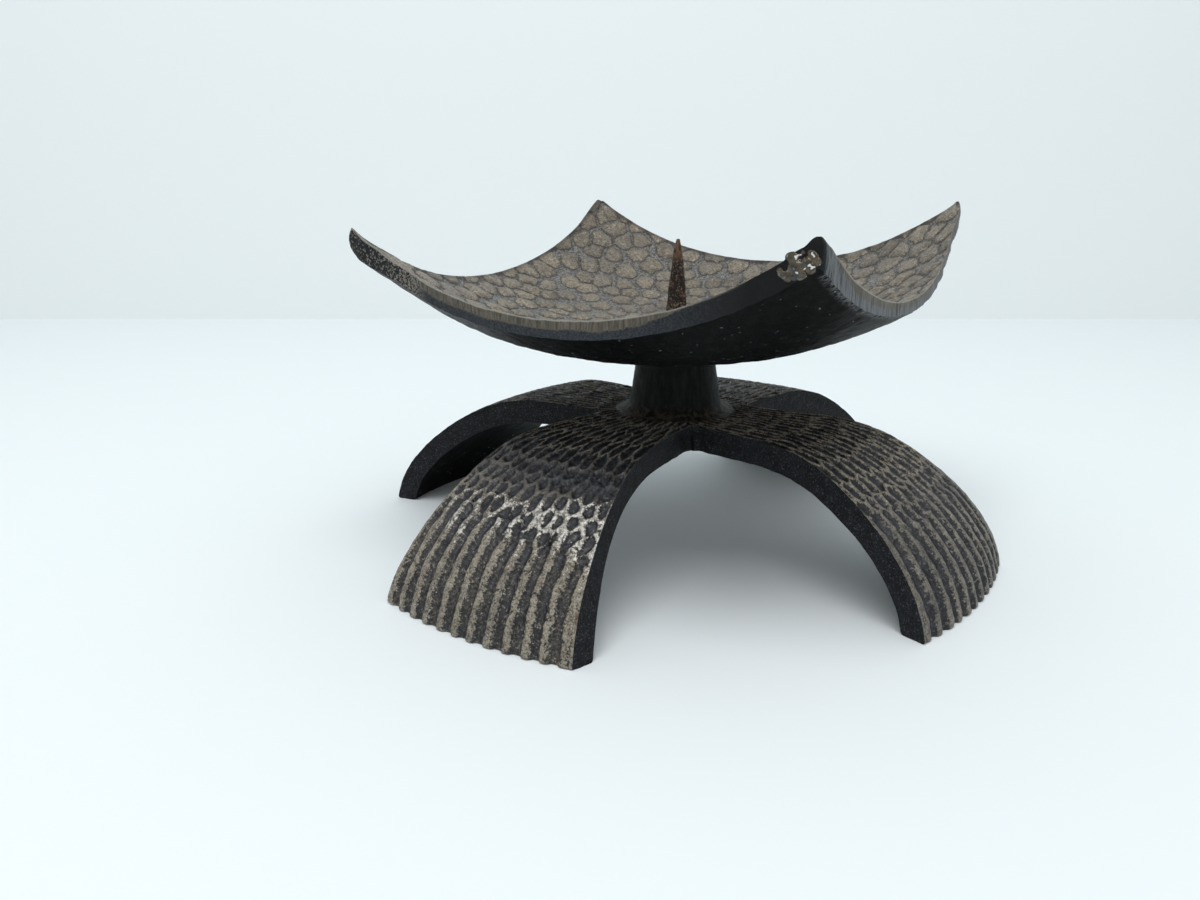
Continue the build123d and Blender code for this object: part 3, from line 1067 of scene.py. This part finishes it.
def pebble_pattern(look, points, seed):
    """Depth of the seams, distance from a seam, and how light each pebble top is: its own darkness at random,
    with the left side lightened as painted light.
    """
    middles, spacing = sow_pebbles(look, seed)
    warp = np.column_stack([lumps(points, 3.4, seed + i) for i in range(3)]) * 0.52
    warp += np.column_stack([lumps(points, 1.3, seed + 5 + i) for i in range(3)]) * 0.3
    bent = points + warp
    first, second, edge = nearest_two(bent, middles)
    own = scatter(first[:, None], seed + 10)
    reach = np.hypot(points[:, 0], points[:, 1]) / dish_half_side
    outer = ease(reach, 0.95, 1.25)
    round_reach = spacing[first] * (0.72 + 0.06 * own + 0.12 * outer)
    round_edge = round_reach - np.linalg.norm(bent - middles[first], axis=1)
    edge = least(edge, round_edge)
    pair = np.column_stack([np.minimum(first, second), np.maximum(first, second)])
    wider = np.where(points[:, 0] > 0, 0.08, np.where(points[:, 1] < 0, -0.2, 0.1))
    half_seam = 0.2 + 0.2 * scatter(pair, seed + 9) + outer * wider
    strength = 0.55 + 0.45 * ease(reach, 0.1, 0.55)
    seam = ease(edge, half_seam - 0.25, half_seam + 0.55)
    dome = ease(edge, 0.2, 2.2) * (0.28 + 0.16 * own)
    depth = look.groove_depth / MM * (1 - seam) * strength - dome * strength
    # Pebbles towards the left are made lighter: painted light falling from the left
    tone = 0.42 + 0.45 * scatter(first[:, None], seed + 11) + 0.38 * ease(-points[:, 0], 5, 45)
    return depth, seam, np.clip(tone, 0, 1)


def at_corner(a, b, corner, start):
    """Rises from 0 to 1 towards one corner of the dish."""
    side_x, side_y = corner_sides[corner]
    return ease(a * side_x, start, 1) * ease(b * side_y, start, 1)


def dish_shell(look, finishes, seed):
    """The bowl, cut to its square plan, with pebbles inside and a sandy skin outside."""
    piece = slab("dish_casting", *dish_grid)
    dress(piece, finishes)
    a, b, through = corners(piece).T
    left = at_corner(a, b, "left", 0.72)
    left_belly = at_corner(a, b, "left", 0.25) * (1 - at_corner(a, b, "left", 0.7))
    right = at_corner(a, b, "right", 0.38)
    right_tip = at_corner(a, b, "right", 0.75)
    near = at_corner(a, b, "near", 0.7)
    x = a * (dish_half_side + dish_side_bulge * (1 - b**2))
    y = b * (dish_half_side + dish_side_bulge * (1 - a**2))
    reach = np.hypot(x, y)
    pull_in = np.minimum(1, blunt_tip_reach / np.maximum(reach, 1e-6))
    x, y, reach = x * pull_in, y * pull_in, reach * pull_in
    stretch = 1 + (left_tip_stretch * left + right_tip_stretch * right_tip) / np.maximum(reach, 1e-6)
    x, y = x * stretch, y * stretch
    shoulder = far_tip_shoulder * ease(-a, 0.86, 1) * ease(b, 0.76, 0.93) * (1 - ease(b, 0.96, 1.0))
    top_height = bowl_height(reach) + right_tip_lift * right + near_tip_lift * near + left_tip_lift * left
    top_height += shoulder - left_tip_rounding * at_corner(a, b, "left", 0.955)
    under_height = bowl_underside(reach) + shoulder + left_tip_thinning * left + left_belly_lift * left_belly
    under_height += right_tip_thinning * right * (1 - right_tip)
    under_height += right_side_thinning * ease(a, 0.4, 1) * ease(b, -0.9, -0.2)
    inside = np.column_stack([x, y, top_height])
    lean = np.arctan(bowl_slope(reach))
    out = np.column_stack([x, y, np.zeros(len(x))]) / np.maximum(reach, 1e-6)[:, None]
    normals = -out * np.sin(lean)[:, None] + np.array([0, 0, 1.0]) * np.cos(lean)[:, None]
    depth, seam, tone = pebble_pattern(look, inside, seed)
    edge = np.maximum(abs(a), abs(b))
    sand = swell(inside, seed + 20, (1.3, 0.07), (4.0, 0.1))
    sand += near * swell(inside, seed + 26, (2.6, 0.45), (1.3, 0.2))
    top = inside + normals * (sand - depth * (1 - ease(edge, 0.985, 1.0)) * (1 - near))[:, None]
    under = np.column_stack([x, y, under_height])
    under = under - normals * swell(under, seed + 22, (2.6, 0.16), (1.0, 0.08))[:, None]
    share = through[:, None]
    points = top * (1 - share) + under * share
    wander = swell(points, seed + 24, (3.5, 0.2), (1.3, 0.1)) + near * 0.5 * lumps(points, 2.8, seed + 28)
    points += out * (wander * ease(edge, 0.97, 1.0))[:, None]
    at_tip = ease(abs(a), 0.93, 1) * ease(abs(b), 0.93, 1)
    points -= out * (tip_rounding * at_tip * (2 * through - 1) ** 2)[:, None]
    place(piece, points)
    far_sides = np.maximum(ease(-a, 0.975, 0.992), ease(b, 0.975, 0.992))
    near_front = at_corner(a, b, "near", 0.25) * (b < -0.99)
    # Pale streaks on the underside towards the right and left corners: a painted reflection of the bright
    # backdrop
    right_under = ease(a, 0.66, 0.95) * ease(b, -0.5, 0.2)
    left_under = ease(-a, 0.15, 0.45) * ease(-b, 0.66, 0.95)
    painted_reflection_under = 0.5 * np.maximum(right_under, left_under) * (through > 0.99) * (edge < 0.999)
    note(
        piece,
        outline=far_sides * (0.75 + 0.25 * lumps(inside, 4.0, seed + 29)),
        seam=seam * (1 - near),
        tone=tone,
        reach=reach / dish_half_side,
        through=through,
        soot=np.clip(np.maximum(near_front * 1.3, near * 0.8), 0, 1),
        grit=at_corner(a, b, "left", 0.35),
        # Pale marks on the right-hand rim face and the underside streaks: painted reflection
        pale=np.maximum(ease(a, 0.97, 1.0) * (b > -0.97) * 0.85, painted_reflection_under),
    )
    sort_faces(piece, through)
    piece.data.transform(dish_lean())
    return piece


def dish_lean():
    """How the dish stands on its stem: turned a little, and not quite level."""
    lift = Matrix.Translation((0, 0, rim_height * MM))
    turns = Matrix.Rotation(math.radians(dish_rise_along_y_degrees), 4, "X")
    turns = turns @ Matrix.Rotation(math.radians(-dish_rise_along_x_degrees), 4, "Y")
    turns = turns @ Matrix.Rotation(math.radians(dish_turn_degrees), 4, "Z")
    return lift @ turns @ lift.inverted()


def boss_shell(finishes):
    """The boss under the bowl, which sits on the stem."""
    top = dish_floor_height - dish_wall / 2
    wall = [(stem_top_radius, height) for height in np.linspace(stem_top_height, top, 8)]
    outline = [(0, stem_top_height)] + wall + [(0, top)]
    return cast_round("boss", outline, finishes, under_finish, [(2.4, 0.1), (1.0, 0.05)], boss_seed)


class STAND_OT_dish(bpy.types.Operator):
    """Models the square dish with its pebbled inside and rubbed rim"""

    bl_idname = "stand.dish"
    bl_label = "Dish"

    def execute(self, context):
        finish = context.scene.finish_look
        finishes = [pebble_skin(finish), rim_edge(), cast_under()]
        shells = [dish_shell(context.scene.dish_look, finishes, dish_seed), boss_shell(finishes)]
        piece = join(shells, "dish_casting")
        face_out(piece, sharp_degrees)
        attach(piece, "root")
        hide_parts("dish")
        return {"FINISHED"}


class STAND_OT_beads(bpy.types.Operator):
    """Models the glossy amber beads stuck to the near corner of the dish"""

    bl_idname = "stand.beads"
    bl_label = "Amber beads"

    def execute(self, context):
        glass = amber_glass()
        beads = []
        for middle, radius in amber_beads:
            deselect()
            bpy.ops.mesh.primitive_ico_sphere_add(subdivisions=4, radius=radius * MM)
            bead = bpy.context.object
            bead.data.transform(Matrix.Translation(Vector(middle) * MM) @ Matrix.Diagonal((*bead_squash, 1)))
            dress(bead, [glass])
            beads.append(bead)
        piece = join(beads, "amber_beads")
        roughen(piece, [(1.5, 0.3), (0.7, 0.14)], bead_seed)
        face_out(piece, bead_sharp_degrees)
        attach(piece, "root")
        return {"FINISHED"}


class STAND_OT_pricket(bpy.types.Operator):
    """Models the rusty spike with its collar and shank"""

    bl_idname = "stand.pricket"
    bl_label = "Pricket"

    def execute(self, context):
        shank = [(shank_radius, z) for z in np.linspace(pricket_foot_height, collar_seat_height, 30)]
        collar = [(collar_radius, collar_seat_height), (collar_radius, collar_top_height)]
        taper = [(radius, spike_height - below) for radius, below in spike_taper]
        spine = evenly(np.array([(spike_root_radius, collar_top_height)] + taper), 90)
        outline = [(0, pricket_foot_height)] + shank + collar + list(spine) + [(0, spike_height)]
        piece = turned("pricket_spike", outline, spike_steps)
        roughen(piece, [(1.1, 0.09), (0.5, 0.05)], spike_seed)
        dress(piece, [rusty_steel(context.scene.finish_look)])
        face_out(piece, sharp_degrees)
        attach(piece, "root")
        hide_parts("pricket")
        return {"FINISHED"}


class STAND_OT_fasteners(bpy.types.Operator):
    """Gives the washer and the nut under the hub their finish"""

    bl_idname = "stand.fasteners"
    bl_label = "Washer and nut"

    def execute(self, context):
        steel = dull_steel()
        for node in ("washer", "nut"):
            frame["nodes"][node].data.materials[0] = steel
        return {"FINISHED"}


class STAND_OT_stage(bpy.types.Operator):
    """Sets the table, the wall, the light and the camera"""

    bl_idname = "stand.stage"
    bl_label = "Stage"

    def execute(self, context):
        look = context.scene.stage_look
        place_camera()
        lay_floor(look)
        light_room(look)
        return {"FINISHED"}


def place_camera():
    """Puts the camera where the photograph was taken from."""
    camera = bpy.data.cameras.new("camera")
    camera.lens = camera_lens
    camera.sensor_width = sensor_width
    camera.clip_start = 0.01
    holder = add_object("camera", camera)
    back = Vector(camera_back).normalized()
    right = Vector(camera_right).normalized()
    turn = Matrix((right, back.cross(right), back)).transposed().to_4x4()
    holder.matrix_world = Matrix.Translation(Vector(camera_place) * MM) @ turn
    bpy.context.scene.camera = holder


def lay_floor(look):
    """A wide table top, and a wall behind it, square to the camera's view."""
    floor = pale_plane("table_top", "table_white", look.floor_colour)
    view = Vector((-camera_back[0], -camera_back[1], 0)).normalized()
    foot = Vector((camera_place[0], camera_place[1], 0)) * MM + view * wall_distance * MM
    turn = Matrix.Rotation(math.atan2(view.y, view.x) - math.pi / 2, 4, "Z")
    upright = turn @ Matrix.Rotation(math.pi / 2, 4, "X")
    wall = pale_plane("wall", "wall_white", look.wall_colour)
    wall.data.transform(Matrix.Translation(foot) @ upright)


def light_room(look):
    """Even light from all round, and one large soft lamp overhead."""
    world = bpy.data.worlds.new("room")
    world.use_nodes = True
    backdrop = world.node_tree.nodes["Background"]
    backdrop.inputs["Color"].default_value = (1, 1, 1, 1)
    backdrop.inputs["Strength"].default_value = look.sky_level
    bpy.context.scene.world = world
    lamp = bpy.data.lights.new("soft_lamp", "AREA")
    lamp.shape = "SQUARE"
    lamp.size = lamp_size
    lamp.energy = look.lamp_power
    spot = Vector(lamp_place)
    turn = spot.to_track_quat("Z", "Y").to_matrix().to_4x4()
    add_object("soft_lamp", lamp).matrix_world = Matrix.Translation(spot) @ turn


class STAND_PT_panel(bpy.types.Panel):
    """Lists the pieces and the stage of the candle stand"""

    bl_idname = "STAND_PT_panel"
    bl_label = "Candle Stand"
    bl_space_type = "VIEW_3D"
    bl_region_type = "UI"
    bl_category = "Candle Stand"

    def draw(self, context):
        for operator in piece_operators:
            self.layout.operator(operator.bl_idname)
        for look in looks:
            group = getattr(context.scene, look)
            for name in group.bl_rna.properties.keys():
                if name not in ("rna_type", "name"):
                    self.layout.prop(group, name)


looks = {"leg_look": LegLook, "dish_look": DishLook, "finish_look": FinishLook, "stage_look": StageLook}
piece_operators = [
    STAND_OT_stage,
    STAND_OT_legs,
    STAND_OT_dish,
    STAND_OT_beads,
    STAND_OT_pricket,
    STAND_OT_fasteners,
]
addon_classes = [*looks.values(), *piece_operators, STAND_PT_panel]


def register():
    for part in addon_classes:
        bpy.utils.register_class(part)
    for name, group in looks.items():
        setattr(bpy.types.Scene, name, PointerProperty(type=group))


def unregister():
    for name in looks:
        delattr(bpy.types.Scene, name)
    for part in reversed(addon_classes):
        bpy.utils.unregister_class(part)


def main():
    """Builds the stand and its stage."""
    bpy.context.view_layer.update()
    register()
    bpy.context.scene.view_settings.view_transform = "Standard"
    bpy.ops.stand.stage()
    bpy.ops.stand.legs()
    bpy.ops.stand.dish()
    bpy.ops.stand.beads()
    bpy.ops.stand.pricket()
    bpy.ops.stand.fasteners()


if __name__ == "__main__":
    main()
